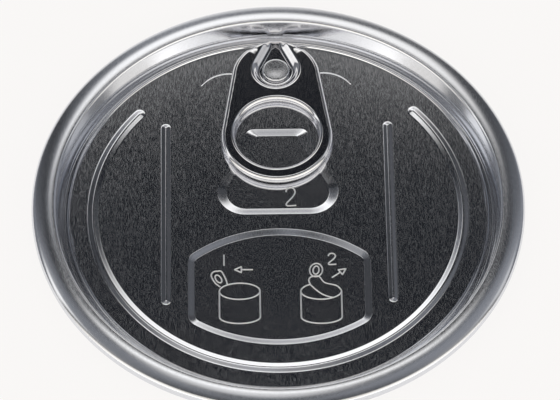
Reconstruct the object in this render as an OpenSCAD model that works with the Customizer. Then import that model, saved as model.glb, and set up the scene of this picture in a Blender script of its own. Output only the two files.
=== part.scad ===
// Full-aperture easy-open can end with a riveted ring pull, lying public side up.
// Millimetres, +Z up. The origin is on the rim's axis, level with the underside of
// the countersink that the end rests on, and +Y points to the nose of the tab.

/* [Rim] */
// Outer diameter of the seaming curl
curl_d = 93; // [88:0.5:100]
// Thickness of the end's sheet
sheet_t = 0.25; // [0.2:0.01:0.3]
// Depth of the countersink below the top of the rim
countersink_depth = 5.2; // [4.8:0.1:6]
// Depth of the centre panel below the top of the rim
panel_depth = 4.2; // [3.6:0.1:4.2]
// Radius of the curl, at the middle of the sheet
curl_r = 1.0; // [0.8:0.05:1.3]
// How far the curl turns under, below the level of its centre
curl_turn = 40; // [20:5:60]
// Radius of the crowned seaming panel, at the middle of the sheet
crown_r = 9; // [7:0.5:12]
// Slope of the seaming panel where it meets the chuck wall's shoulder
crown_inner_slope = 4; // [2:0.5:6]
// Slope of the seaming panel where it meets the curl
crown_outer_slope = 18; // [14:1:24]
// Width of the straight stretch between the crown and the curl
crown_straight = 0.6; // [0.2:0.1:1]
// Radius of the shoulder between the chuck wall and the seaming panel
shoulder_r = 0.8; // [0.6:0.05:1]
// Lean of the chuck wall
chuck_taper = 8; // [4:0.5:12]
// Width of the countersink's floor
groove_w = 0.64; // [0.4:0.02:1]
// Radius of the countersink's corners, at the middle of the sheet
groove_r = 0.45; // [0.35:0.02:0.46]
// Radius of the panel's edge, at the middle of the sheet
panel_edge_r = 0.45; // [0.35:0.02:0.46]
// Slope of the wall between the panel and the countersink
panel_wall_slope = 75; // [65:1:82]

/* [Panel] */
// From the panel's edge in to the score that the panel tears along
score_inset = 0.2; // [0.15:0.05:0.6]
// Width of the score
score_w = 0.24; // [0.15:0.01:0.3]
// Depth of the score
score_depth = 0.12; // [0.05:0.01:0.16]
// From the panel's edge in to the middle of the circular bead
bead_inset = 4.45; // [4:0.05:6]
// Width of the circular bead
bead_w = 2.1; // [1.6:0.1:2.6]
// Height of the beads
bead_h = 0.2; // [0.2:0.05:0.4]
// Angle that the circular bead leaves open round the tab's nose
bead_open = 97; // [80:1:120]
// Width of the two straight beads
side_bead_w = 1.85; // [1.4:0.05:2.2]
// From the icon panel's side to the middle of each straight bead
side_bead_gap = 4; // [3:0.1:5]
// Clear width between the straight beads' tips and the circular bead
side_bead_margin = 4.3; // [3:0.1:6]
// Depth of the pressed icon panel and finger well
recess_depth = 0.3; // [0.15:0.05:0.4]
// Width of the slope round a pressed recess
recess_slope_w = 1.5; // [1:0.1:2]
// Half width of the icon panel
icon_half_w = 17.2; // [14:0.1:19]
// Corner radius of the icon panel
icon_corner_r = 3; // [2.2:0.1:4]
// Radius of the icon panel's upper edge
icon_top_r = 27; // [22:0.5:34]
// From the finger well down to the middle of the icon panel's upper edge
icon_gap = 3.3; // [2:0.1:5]
// Clear width between the icon panel and the circular bead
icon_margin = 4.05; // [3:0.05:6]
// From the ring's centre up to the upper edge of the finger well
well_top = 2.45; // [1.5:0.05:4]
// Half width of the finger well's upper edge
well_top_half_w = 6.4; // [5:0.1:8]
// Corner radius of the finger well's upper edge
well_top_r = 1.9; // [1.7:0.1:3]
// How far the finger well reaches past the ring
well_reach = 6.75; // [4:0.05:9]
// Half width of the finger well's lower edge
well_half_w = 11.5; // [9:0.1:14]
// Corner radius of the finger well's lower edge
well_r = 5.3; // [4:0.1:7]
// Radius of the two shallow score arcs beside the tab
wing_r = 6.6; // [5:0.1:8]
// Sideways place of each score arc's centre
wing_x = 9; // [8:0.1:11]
// From the rivet back to the score arcs' centres
wing_back = 6.5; // [5:0.1:8]
// Angle where a score arc ends, from +X
wing_start = 36; // [20:1:50]
// Angle where a score arc begins under the tab, from +X
wing_end = 95; // [80:1:110]
// Width of a score arc
wing_w = 0.35; // [0.2:0.05:0.5]
// Depth of a score arc
wing_depth = 0.06; // [0.03:0.01:0.1]

/* [Rivet] */
// From the tab's nose back to the rivet
rivet_back = 6.9; // [6:0.1:8]
// Diameter of the rivet's head
rivet_head_d = 5.3; // [4.6:0.1:5.6]
// Thickness of the rivet's head
rivet_head_h = 0.95; // [0.6:0.05:1.1]
// Radius of the head's rounded edge
rivet_edge_r = 0.3; // [0.1:0.05:0.4]
// Diameter of the rivet's neck
rivet_neck_d = 3.6; // [3:0.1:4]
// Diameter of the hollow in the rivet, seen from below
rivet_hollow_d = 3; // [2:0.1:3.2]
// Play round the rivet's neck and under its head
rivet_play = 0.03; // [0.02:0.01:0.06]

/* [Tab] */
// Thickness of the tab's sheet
tab_t = 0.35; // [0.28:0.01:0.4]
// Height of the tab from under its curls to its top
tab_h = 1.6; // [1.4:0.1:1.8]
// Gap between the tab's curls and the panel
tab_gap = 0.1; // [0.06:0.02:0.2]
// From the panel's edge back to the front of the tab's outline
nose_setback = 0.05; // [0:0.05:0.6]
// Radius of the tab's outline round the nose
tab_nose_r = 8.5; // [7.5:0.1:9.5]
// Radius of the tab's outline round the ring
tab_ring_r = 10.65; // [10:0.05:12]
// From the rivet back to the ring's centre
ring_back = 15.6; // [14.5:0.1:18]
// Diameter of the finger hole, inside its curl
finger_hole_d = 16; // [13:0.5:16.4]
// From the ring's centre up to the finger hole's centre
finger_hole_shift = 0.45; // [0.2:0.05:0.7]
// How far the edge curls turn, from the top of the tab
edge_curl_turn = 205; // [180:5:220]
// Radius of the pressed recess round the rivet, at the top of the tab
cup_top_r = 4.8; // [4.5:0.1:5.2]
// Radius of that recess at its foot
cup_foot_r = 3.4; // [3.35:0.05:3.6]
// Height of the recess's foot above the panel
cup_foot_h = 0.5; // [0.45:0.05:0.7]
// Angle from +Y where the recess runs out into the straight channel to the nose
cup_open = 65; // [58:1:70]
// Radius of the rivet tongue round the rivet
tongue_r = 3.1; // [3:0.05:3.2]
// Gap between the tongue and the channel's walls
tongue_gap = 0.2; // [0.15:0.05:0.4]
// Radius of the nose roll that the tab tips on
roll_r = 0.5; // [0.4:0.05:0.55]
// Width of the nose roll
roll_w = 4.8; // [3.6:0.1:5.4]
// Gap between the nose roll and the panel
roll_gap = 0.05; // [0.03:0.01:0.1]
// Gap between the tongue's front and the nose roll
hinge_gap = 0.15; // [0.1:0.05:0.3]
// Half width of the gap in the nose's curl where the tongue runs in
nose_slot_half_w = 1.3; // [1:0.1:1.8]

/* [Sealing compound] */
// Thickness of the lining under the seaming panel
compound_t = 0.12; // [0.06:0.02:0.3]
// Gap between the lining and the sheet
compound_gap = 0.01; // [0.005:0.005:0.02]

/* [Hidden] */
$fn = 96;
arc_steps = 8;
hull_fn = 32;
cone_step = 9;
overlap = 0.05;
side_lap = 0.3;
skin_lap = 0.3;
side_thinning = 0.02;
skin_thinning = 0.01;
big = 3 * curl_d;
aluminium = "#b9bbbe";
tab_metal = "#9b9da0";
lining_grey = "#8d8f86";

// Levels
rim_top = countersink_depth + sheet_t;
panel_top = rim_top - panel_depth;
panel_under = panel_top - sheet_t;
half_t = sheet_t / 2;

// Centres of the rim's arcs. Sizes across come from the curl inwards, heights from the top down.
crown_x = curl_d / 2 - half_t - curl_r + (curl_r - crown_r) * sin(crown_outer_slope) - crown_straight;
shoulder_x = crown_x + (crown_r - shoulder_r) * sin(crown_inner_slope);
shoulder_z = rim_top - half_t - shoulder_r;
crown_z = shoulder_z + (shoulder_r - crown_r) * cos(crown_inner_slope);
curl_x = curl_d / 2 - half_t - curl_r;
curl_z = crown_z + (crown_r - curl_r) * cos(crown_outer_slope) - crown_straight * tan(crown_outer_slope);
groove_z = half_t + groove_r;
chuck_fall = shoulder_z + shoulder_r * sin(chuck_taper) - groove_z + groove_r * sin(chuck_taper);
chuck_top_x = shoulder_x - shoulder_r * cos(chuck_taper);
groove_outer_x = chuck_top_x - chuck_fall * tan(chuck_taper) - groove_r * cos(chuck_taper);
groove_inner_x = groove_outer_x - groove_w;
panel_edge_z = panel_top - half_t - panel_edge_r;
panel_wall_fall = panel_edge_z - groove_z + (panel_edge_r + groove_r) * cos(panel_wall_slope);
panel_wall_w = (panel_edge_r + groove_r) * sin(panel_wall_slope) + panel_wall_fall / tan(panel_wall_slope);
panel_r = groove_inner_x - panel_wall_w;

// The rim's arcs from the panel out: centre, radius, first and last angle,
// and 1 where the centre lies below the sheet
panel_edge_arc = [[panel_r, panel_edge_z], panel_edge_r, 90, 90 - panel_wall_slope, 1];
groove_inner_arc = [[groove_inner_x, groove_z], groove_r, 270 - panel_wall_slope, 270, -1];
groove_outer_arc = [[groove_outer_x, groove_z], groove_r, 270, 360 - chuck_taper, -1];
shoulder_arc = [[shoulder_x, shoulder_z], shoulder_r, 180 - chuck_taper, 90 - crown_inner_slope, 1];
crown_arc = [[crown_x, crown_z], crown_r, 90 - crown_inner_slope, 90 - crown_outer_slope, 1];
curl_arc = [[curl_x, curl_z], curl_r, 90 - crown_outer_slope, -curl_turn, 1];
lined_curl_arc = [[curl_x, curl_z], curl_r, 90 - crown_outer_slope, 0, 1];
rim_arcs = [panel_edge_arc, groove_inner_arc, groove_outer_arc, shoulder_arc, crown_arc, curl_arc];

// Places on the panel, from its edge inwards
bead_r = panel_r - bead_inset;
nose_y = panel_r - nose_setback;
rivet_y = nose_y - rivet_back;
ring_y = rivet_y - ring_back;
well_low_y = ring_y - tab_ring_r - well_reach;
icon_top_y = well_low_y - icon_gap;
icon_low_r = bead_r - bead_w / 2 - icon_margin;
side_bead_x = icon_half_w + side_bead_gap;
side_bead_tip_r = bead_r - bead_w / 2 - side_bead_margin;
side_bead_half = sqrt(side_bead_tip_r * side_bead_tip_r - side_bead_x * side_bead_x) - side_bead_w / 2;

// Levels and places of the tab
edge_r = tab_h / 2;
tab_low = panel_top + tab_gap;
tab_top = tab_low + tab_h;
curl_mid_r = edge_r - tab_t / 2;
nose_centre_y = nose_y - tab_nose_r;
side_lean = asin((tab_ring_r - tab_nose_r) / (nose_centre_y - ring_y));
finger_hole_y = ring_y + finger_hole_shift;
tongue_top = panel_top + tab_t;
roll_y = nose_y + overlap;
roll_z = panel_top + roll_gap + roll_r;
cup_foot_z = panel_top + cup_foot_h;
channel_len = (rivet_back - edge_r - cup_top_r * cos(cup_open)) / sin(cup_open);
nose_slot_angle = asin(nose_slot_half_w / tab_nose_r);

// Points along an arc of a sheet's section, off the middle of the sheet by side
function arc_points(arc, side) = [
    for (i = [0:arc_steps])
        let (a = arc[2] + (arc[3] - arc[2]) * i / arc_steps)
        arc[0] + (arc[1] + arc[4] * side) * [cos(a), sin(a)]
];
function reversed(list) = [for (i = [len(list) - 1:-1:0]) list[i]];
// Point on the tab's straight right side, at a radius from a centre
// and so far past the point where the side touches
function side_point(centre, r, past) =
    centre + r * [cos(side_lean), sin(side_lean)] + past * [-sin(side_lean), cos(side_lean)];
function chain(arcs, side) = [for (arc = arcs) each arc_points(arc, side)];

// Section of a sheet that follows tangent arcs
module sheet_section(arcs, upper, lower) {
    polygon(concat(chain(arcs, upper), reversed(chain(arcs, lower))));
}

// A section swept along an arc, where the section's X points away from the centre
module along_arc(centre, r, from, to) {
    translate(centre) rotate(from) rotate_extrude(angle = to - from) translate([r, 0]) children();
}

// A section swept along a line, where the section's X points to the right of the way from a to b
module along_line(a, b) {
    heading = atan2(b[1] - a[1], b[0] - a[0]);
    translate(a) rotate([90, 0, heading - 90]) mirror([0, 0, 1]) linear_extrude(norm(b - a)) children();
}

// Everything above a level
module above(level) {
    translate([-big / 2, -big / 2, level]) cube(big);
}

// Radius of a bead's round section
function bead_section_r(w, h) = (w * w / 4 + h * h) / (2 * h);

// Half of a ball, on the +Y side of its centre
module half_ball(r) {
    rotate_extrude(angle = 180) intersection() {
        circle(r);
        translate([0, -r]) square([r, 2 * r]);
    }
}

// Round bar with ball ends along the circular bead, grown by side
module ring_bead_bar(side) {
    r = bead_section_r(bead_w, bead_h);
    from = 90 + bead_open / 2;
    to = 450 - bead_open / 2;
    translate([0, 0, panel_top + bead_h - r]) {
        rotate(from) rotate_extrude(angle = to - from, $fn = 2 * $fn)
            translate([bead_r, 0]) circle(r + side);
        rotate(from) translate([bead_r, 0, 0]) rotate(180) half_ball(r + side);
        rotate(to) translate([bead_r, 0, 0]) half_ball(r + side);
    }
}

// Round bar with ball ends along one straight bead, grown by side
module side_bead_bar(x, side) {
    r = bead_section_r(side_bead_w, bead_h);
    translate([x, 0, panel_top + bead_h - r]) {
        rotate([90, 0, 0]) cylinder(r = r + side, h = 2 * side_bead_half, center = true);
        translate([0, side_bead_half, 0]) half_ball(r + side);
        translate([0, -side_bead_half, 0]) rotate(180) half_ball(r + side);
    }
}

module bead_bars(side) {
    ring_bead_bar(side);
    for (x = [-side_bead_x, side_bead_x])
        side_bead_bar(x, side);
}

// Corner of a pressed recess, from its floor up past the panel's top
module recess_corner(r) {
    rise = recess_depth + overlap;
    top_r = r + recess_slope_w * (rise / recess_depth - 1);
    translate([0, 0, panel_top - recess_depth])
        cylinder(r1 = r - recess_slope_w, r2 = top_r, h = rise, $fn = hull_fn);
}

// Pressed panel that carries the opening icons
module icon_recess() {
    top_spread = asin((icon_half_w - icon_corner_r) / (icon_top_r - icon_corner_r));
    low_spread = asin((icon_half_w - icon_corner_r) / (icon_low_r - icon_corner_r));
    cones = floor(top_spread / cone_step);
    hull()
        for (i = [-cones:cones]) {
            translate([0, icon_top_y - icon_top_r, 0]) rotate(-top_spread * i / cones)
                translate([0, icon_top_r - icon_corner_r, 0]) recess_corner(icon_corner_r);
            rotate(low_spread * i / cones)
                translate([0, icon_corner_r - icon_low_r, 0]) recess_corner(icon_corner_r);
        }
}

// Pressed well that lets a finger in under the ring
module finger_well() {
    hull()
        for (side = [-1, 1]) {
            translate([side * (well_top_half_w - well_top_r), ring_y + well_top - well_top_r, 0])
                recess_corner(well_top_r);
            translate([side * (well_half_w - well_r), well_low_y + well_r, 0]) recess_corner(well_r);
        }
}

// Triangular groove section of a score, cut down from the panel's top
module score_section(w, depth) {
    polygon([[-w / 2, overlap], [0, -depth], [w / 2, overlap]]);
}

module scores() {
    translate([0, 0, panel_top]) {
        along_arc([0, 0, 0], panel_r - score_inset, 0, 360) score_section(score_w, score_depth);
        for (side = [0, 1])
            mirror([side, 0, 0])
                along_arc([wing_x, rivet_y - wing_back, 0], wing_r, wing_start, wing_end)
                    score_section(wing_w, wing_depth);
    }
}

// Hollow button of the rivet, drawn up from the panel and staked over the tongue
module rivet() {
    head_low = tongue_top + rivet_play;
    edge_x = rivet_head_d / 2 - rivet_edge_r;
    translate([0, rivet_y, 0]) {
        translate([0, 0, panel_under]) cylinder(d = rivet_neck_d, h = head_low + overlap - panel_under);
        translate([0, 0, head_low]) rotate_extrude() polygon(concat(
            [[0, rivet_head_h], [0, 0]],
            arc_points([[edge_x, rivet_edge_r], rivet_edge_r, -90, 0, 1], 0),
            arc_points([[edge_x, rivet_head_h - rivet_edge_r], rivet_edge_r, 0, 90, 1], 0)
        ));
    }
}

module rivet_hollow() {
    translate([0, rivet_y, panel_under - overlap])
        cylinder(d = rivet_hollow_d, h = tongue_top + rivet_head_h - sheet_t - panel_under);
}

// Centre panel that tears out, with its beads, recesses, scores and rivet
module centre_panel() {
    difference() {
        union() {
            translate([0, 0, panel_under]) cylinder(r = panel_r, h = sheet_t, $fn = 2 * $fn);
            intersection() {
                bead_bars(0);
                above(panel_top - sheet_t / 2);
            }
            translate([0, 0, -sheet_t]) {
                icon_recess();
                finger_well();
            }
            rivet();
        }
        bead_bars(-sheet_t);
        icon_recess();
        finger_well();
        scores();
        rivet_hollow();
    }
}

module end_shell() {
    color(aluminium) {
        rotate_extrude($fn = 2 * $fn) sheet_section(rim_arcs, half_t, -half_t);
        centre_panel();
    }
}

module sealing_compound() {
    upper = -half_t - compound_gap;
    color(lining_grey) rotate_extrude($fn = 2 * $fn)
        sheet_section([crown_arc, lined_curl_arc], upper, upper - compound_t);
}

// Outline of the tab's flat skin, inside the curls: two circles and a web between them that laps both
module skin_outline() {
    inset = edge_r + skin_lap / 2;
    low = side_point([0, ring_y], tab_ring_r - inset + overlap, -side_lap / 2);
    high = side_point([0, nose_centre_y], tab_nose_r - inset + overlap, side_lap / 2);
    translate([0, nose_centre_y]) circle(tab_nose_r - inset);
    translate([0, ring_y]) circle(tab_ring_r - inset);
    polygon([[-low[0], low[1]], [-high[0], high[1]], high, low]);
}

// Curl that the sheet's edge rolls into and the strip of skin it starts from, thinned on each face.
// Its outermost point is at X 0.
module edge_curl(thinned) {
    half = tab_t / 2 - thinned;
    arcs = [[[-edge_r, tab_low + edge_r], curl_mid_r, 90, 90 - edge_curl_turn, 1]];
    skin_x = -edge_r - skin_lap;
    skin_z = tab_top - tab_t / 2;
    start = [[skin_x, skin_z + half]];
    end = [[skin_x, skin_z - half]];
    polygon(concat(start, chain(arcs, half), reversed(chain(arcs, -half)), end));
}

// Straight side of the outer curl, thinned a little so that its ends lie inside the round stretches
module side_curl() {
    low = side_point([0, ring_y], tab_ring_r, -side_lap);
    high = side_point([0, nose_centre_y], tab_nose_r, side_lap);
    along_line(low, high) edge_curl(side_thinning);
}

// The outer curl goes round the whole outline, apart from the slot that the tongue runs in through
module outer_curl() {
    along_arc([0, ring_y, 0], tab_ring_r, 180 - side_lean, 360 + side_lean) edge_curl(0);
    for (side = [0, 1])
        mirror([side, 0, 0]) {
            along_arc([0, nose_centre_y, 0], tab_nose_r, side_lean, 90 - nose_slot_angle) edge_curl(0);
            side_curl();
        }
}

module finger_hole_curl() {
    along_arc([0, finger_hole_y, 0], finger_hole_d / 2, 0, 360) mirror([1, 0]) edge_curl(0);
}

// Plan of the recess round the rivet and its channel to the nose, with its round part of radius r
module cup_plan(r) {
    start = r * [sin(cup_open), cos(cup_open)];
    end_half_w = max(start[0] - (rivet_back - start[1]) / tan(cup_open), overlap);
    translate([0, rivet_y]) {
        circle(r);
        polygon([[-start[0], start[1]], start, [end_half_w, rivet_back], [-end_half_w, rivet_back]]);
    }
}

// Sloped flange of that recess, from the tab's top down to its foot, off the axis of the rivet
module cup_flange_section() {
    polygon([
        [cup_top_r, tab_top],
        [cup_foot_r, cup_foot_z + tab_t],
        [cup_foot_r, cup_foot_z],
        [cup_top_r + skin_lap, tab_top - tab_t],
        [cup_top_r + skin_lap, tab_top],
    ]);
}

module cup_flange() {
    channel = channel_len * [-cos(cup_open), sin(cup_open), 0];
    along_arc([0, rivet_y, 0], 0, 90 + cup_open, 450 - cup_open) cup_flange_section();
    for (side = [0, 1])
        mirror([side, 0, 0])
            along_line([0, rivet_y, 0], [0, rivet_y, 0] + channel) cup_flange_section();
}

module nose_roll() {
    translate([0, roll_y, roll_z]) rotate([0, 90, 0]) cylinder(r = roll_r, h = roll_w, center = true);
}

module pull_tab() {
    color(tab_metal) {
        translate([0, 0, tab_top - tab_t + skin_thinning])
            linear_extrude(tab_t - 2 * skin_thinning)
                difference() {
                    skin_outline();
                    translate([0, finger_hole_y]) circle(finger_hole_d / 2 + edge_r + skin_lap / 2);
                    cup_plan(cup_top_r + skin_lap / 2);
                }
        outer_curl();
        finger_hole_curl();
        cup_flange();
        nose_roll();
    }
}

// Tongue lanced from the tab, which the rivet clamps to the panel
module tab_tongue() {
    front_y = roll_y - roll_r - hinge_gap;
    color(tab_metal) translate([0, 0, panel_top]) linear_extrude(tab_t) difference() {
        intersection() {
            union() {
                translate([0, rivet_y]) circle(tongue_r);
                cup_plan(cup_foot_r - tongue_gap);
            }
            translate([-tongue_r, rivet_y - tongue_r]) square([2 * tongue_r, front_y - rivet_y + tongue_r]);
        }
        translate([0, rivet_y]) circle(rivet_neck_d / 2 + rivet_play);
    }
}

end_shell();
sealing_compound();
tab_tongue();
pull_tab();
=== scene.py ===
"""Looks of a full-aperture easy-open can end with a riveted ring pull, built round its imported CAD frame.

The meshes are worked out in millimetres in the frame's axes: +Z out of the public side and +Y to the nose
of the tab.
"""

import math

import bmesh
import bpy
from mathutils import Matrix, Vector
from mathutils.geometry import delaunay_2d_cdt
from mathutils.kdtree import KDTree


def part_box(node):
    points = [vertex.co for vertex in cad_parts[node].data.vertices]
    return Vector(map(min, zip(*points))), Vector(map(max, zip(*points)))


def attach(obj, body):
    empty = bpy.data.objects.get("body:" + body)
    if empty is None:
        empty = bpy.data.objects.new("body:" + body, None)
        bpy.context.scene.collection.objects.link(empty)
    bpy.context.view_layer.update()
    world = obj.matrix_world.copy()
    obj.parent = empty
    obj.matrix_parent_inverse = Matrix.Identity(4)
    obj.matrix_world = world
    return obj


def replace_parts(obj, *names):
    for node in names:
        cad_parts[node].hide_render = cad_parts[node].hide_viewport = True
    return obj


MM = 0.001
SHARP_ANGLE = 40

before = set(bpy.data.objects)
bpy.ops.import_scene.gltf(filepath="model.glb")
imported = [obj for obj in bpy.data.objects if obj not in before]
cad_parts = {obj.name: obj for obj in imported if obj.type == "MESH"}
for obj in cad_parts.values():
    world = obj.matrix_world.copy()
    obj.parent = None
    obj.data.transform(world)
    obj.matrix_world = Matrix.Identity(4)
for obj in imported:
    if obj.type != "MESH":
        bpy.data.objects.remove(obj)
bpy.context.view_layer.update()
shell_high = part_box("end_shell")[1]

# Rim, from the outside in. Radii of arcs are at the middle of the sheet.
CURL_OUT = shell_high.x / MM
RIM_TOP = shell_high.z / MM
SHEET = 0.25
HALF_SHEET = SHEET / 2
PANEL_DEPTH = 4.2
CURL_R = 1.0
CURL_TURN = 40
CROWN_R = 10
CROWN_INNER_SLOPE = 0.5
CROWN_OUTER_SLOPE = 18
SHOULDER_R = 0.5
CHUCK_TOP_X = 42.0
CHUCK_TAPER = 12.5
GROOVE_R = 0.45
WALL_FOOT_R = 0.325
WALL_FOOT_SLOPE = 58
WALL_BEND_R = 0.4
WALL_BEND_Z = 0.8
PANEL_R = 39.4589
PANEL_EDGE_R = 0.3
PANEL_WALL_SLOPE = 75
RIM_SEGMENTS = 320
RIM_ARC_STEP = 7

# Centre panel
SCORE_INSET = 0.2
SCORE_W = 0.24
SCORE_DEPTH = 0.12
BEAD_INSET = 4.45
BEAD_W = 2.1
BEAD_H = 0.16
BEAD_EASE = 0.25
BEAD_OPEN = 97
BEAD_FOOT = 0.08
SIDE_BEAD_W = 1.85
SIDE_BEAD_GAP = 4
SIDE_BEAD_MARGIN = 4.3
RECESS_DEPTH = 0.3
ICON_SLOPE_W = 1.35
WELL_SLOPE_W = 1.5
WELL_SQUEEZE = 0.25
WELL_LOW_SQUEEZE = 0.05
RECESS_EASE = 0.08
ICON_HALF_W = 17.2
ICON_CORNER_R = 3
ICON_TOP_R = 27
ICON_GAP = 3.3
ICON_MARGIN = 4.05
ICON_ARC_STEP = 2
WELL_TOP = 2.45
WELL_TOP_HALF_W = 6.4
WELL_TOP_R = 1.9
WELL_REACH = 6.75
WELL_HALF_W = 11.5
WELL_R = 5.3
WING_R = 6.6
WING_X = 9
WING_BACK = 6.5
WING_START = 36
WING_END = 95
WING_W = 0.15
WING_DEPTH = 0.025
GUARD = 0.2
PANEL_STEP = 0.8
GRID_STEP = 2.5
SIDE_BEAD_ARC_STEP = 15
WING_CAP_STEP = 45

# Raised lines
LINE_W = 0.3
LINE_H = 0.06
LINE_SINK = 0.004
LINE_SHARE_STEP = 0.4
ARROW_HEAD = 1.3
ARROW_HALF_W = 0.66
CAN_1 = (-7.48, -17.72)
CAN_2 = (7.74, -17.9)
CAN_HALF_W = 3.8
CAN_HALF_H = 1.82
CAN_SIDE = 5.75
CAN_FOOT_SHARE = 0.8
WELL_DIGIT = (1.5, 1.6)
WELL_DIGIT_W = 1.9
WELL_DIGIT_H = 4.2

# Rivet
RIVET_BACK = 6.9
RIVET_HEAD_R = 2.65
RIVET_HEAD_H = 0.95
RIVET_EDGE_R = 0.3
RIVET_NECK_R = 1.8
RIVET_DISH = 0.05
RIVET_PLAY = 0.03
RIVET_SEGMENTS = 72

# Tab
TAB_T = 0.35
TAB_H = 1.6
TAB_GAP = 0.1
NOSE_SETBACK = 0.05
TAB_NOSE_R = 8.5
TAB_RING_R = 10.65
RING_BACK = 15.6
FINGER_HOLE_R = 8
FINGER_HOLE_SHIFT = 0.45
FINGER_HOLE_SEGMENTS = 160
EDGE_CURL_TURN = 205
NOSE_CURL_TURN = 120
NOSE_TIP_HALF_W = 1.7
NOSE_TIP_REACH = 0.5
NOSE_TIP_FLAT = 0.6
NOSE_TIP_FROM = 1.4
NOSE_TIP_TO = 0.8
NOSE_OPEN_FROM = 0.7
NOSE_OPEN_TO = 1.3
CRINKLE_ANGLE = 33.5
CRINKLE_SPREAD = 4.5
CRINKLE_INSET = 0.25
CRINKLE_DEPTH = 0.12
CRINKLE_RATE = 60
CRINKLE_SAG = 0.5
CUP_FOOT_R = 3.15
CUP_SLOPE_W = 1.7
CUP_DEPTH = 0.85
CUP_EASE = 0.5
TAB_GUARD = 0.12
CUP_OPEN = 65
CUP_END = 1.05
TAB_STEP = 0.5
TAB_ARC_STEP = 2
CUP_STEP = 0.15
ROLL_STEP = 0.05
NOSE_STEP = 0.22

# Levels and places that follow
PANEL_TOP = RIM_TOP - PANEL_DEPTH
TONGUE_TOP = PANEL_TOP + TAB_T
TAB_LOW = PANEL_TOP + TAB_GAP
TAB_TOP = TAB_LOW + TAB_H
EDGE_R = TAB_H / 2


def cosd(angle):
    return math.cos(math.radians(angle))


def sind(angle):
    return math.sin(math.radians(angle))


def tand(angle):
    return math.tan(math.radians(angle))


def smooth(value, low, high):
    """0 below low, 1 above high, and a smooth step between."""
    t = min(max((value - low) / (high - low), 0.0), 1.0)
    return t * t * (3 - 2 * t)


def spread(first, last, step):
    """Evenly spaced values from first to last, no further apart than step."""
    count = max(1, math.ceil(abs(last - first) / step - 1e-9))
    return [first + (last - first) * i / count for i in range(count + 1)]


def on_arc(centre, r, angle):
    return (centre[0] + r * cosd(angle), centre[1] + r * sind(angle))


def rim_profile():
    """Public side of the rim's section as (radius, height), from the panel's edge out to the curl's lip."""
    curl_x = CURL_OUT - HALF_SHEET - CURL_R
    shoulder_x = CHUCK_TOP_X + SHOULDER_R * cosd(CHUCK_TAPER)
    shoulder_z = RIM_TOP - HALF_SHEET - SHOULDER_R
    crown_x = shoulder_x - (CROWN_R - SHOULDER_R) * sind(CROWN_INNER_SLOPE)
    crown_z = shoulder_z + (SHOULDER_R - CROWN_R) * cosd(CROWN_INNER_SLOPE)
    crown_straight = curl_x + (CURL_R - CROWN_R) * sind(CROWN_OUTER_SLOPE) - crown_x
    crown_fall = crown_straight * tand(CROWN_OUTER_SLOPE)
    curl_z = crown_z + (CROWN_R - CURL_R) * cosd(CROWN_OUTER_SLOPE) - crown_fall
    groove_z = HALF_SHEET + GROOVE_R
    edge_z = PANEL_TOP - HALF_SHEET - PANEL_EDGE_R
    wall_fall = edge_z - groove_z + (PANEL_EDGE_R + GROOVE_R) * cosd(PANEL_WALL_SLOPE)
    wall_w = (PANEL_EDGE_R + GROOVE_R) * sind(PANEL_WALL_SLOPE) + wall_fall / tand(PANEL_WALL_SLOPE)
    groove_inner_x = PANEL_R + wall_w
    bend_turn = 90 - CHUCK_TAPER - WALL_FOOT_SLOPE
    bend_reach = WALL_BEND_R * tand(bend_turn / 2)
    chuck_top_z = shoulder_z + SHOULDER_R * sind(CHUCK_TAPER)
    bend_x = CHUCK_TOP_X - HALF_SHEET - (chuck_top_z - WALL_BEND_Z) * tand(CHUCK_TAPER)
    bend_end_x = bend_x + bend_reach * sind(CHUCK_TAPER)
    bend_end_z = WALL_BEND_Z + bend_reach * cosd(CHUCK_TAPER)
    bend_centre = (bend_end_x - WALL_BEND_R * cosd(CHUCK_TAPER), bend_end_z + WALL_BEND_R * sind(CHUCK_TAPER))
    foot_z = SHEET + WALL_FOOT_R
    foot_top_z = foot_z - WALL_FOOT_R * cosd(WALL_FOOT_SLOPE)
    foot_top_x = bend_x - (WALL_BEND_Z - foot_top_z) / tand(WALL_FOOT_SLOPE)
    foot_x = foot_top_x - WALL_FOOT_R * sind(WALL_FOOT_SLOPE)
    arcs = [
        ((PANEL_R, edge_z), PANEL_EDGE_R + HALF_SHEET, 90, 90 - PANEL_WALL_SLOPE),
        ((groove_inner_x, groove_z), GROOVE_R - HALF_SHEET, 270 - PANEL_WALL_SLOPE, 270),
        ((foot_x, foot_z), WALL_FOOT_R, 270, 270 + WALL_FOOT_SLOPE),
        (bend_centre, WALL_BEND_R, 270 + WALL_FOOT_SLOPE, 360 - CHUCK_TAPER),
        ((shoulder_x, shoulder_z), SHOULDER_R + HALF_SHEET, 180 - CHUCK_TAPER, 90 - CROWN_INNER_SLOPE),
        ((crown_x, crown_z), CROWN_R + HALF_SHEET, 90 - CROWN_INNER_SLOPE, 90 - CROWN_OUTER_SLOPE),
        ((curl_x, curl_z), CURL_R + HALF_SHEET, 90 - CROWN_OUTER_SLOPE, -CURL_TURN),
    ]
    return [on_arc(c, r, a) for c, r, first, last in arcs for a in spread(first, last, RIM_ARC_STEP)]


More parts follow.
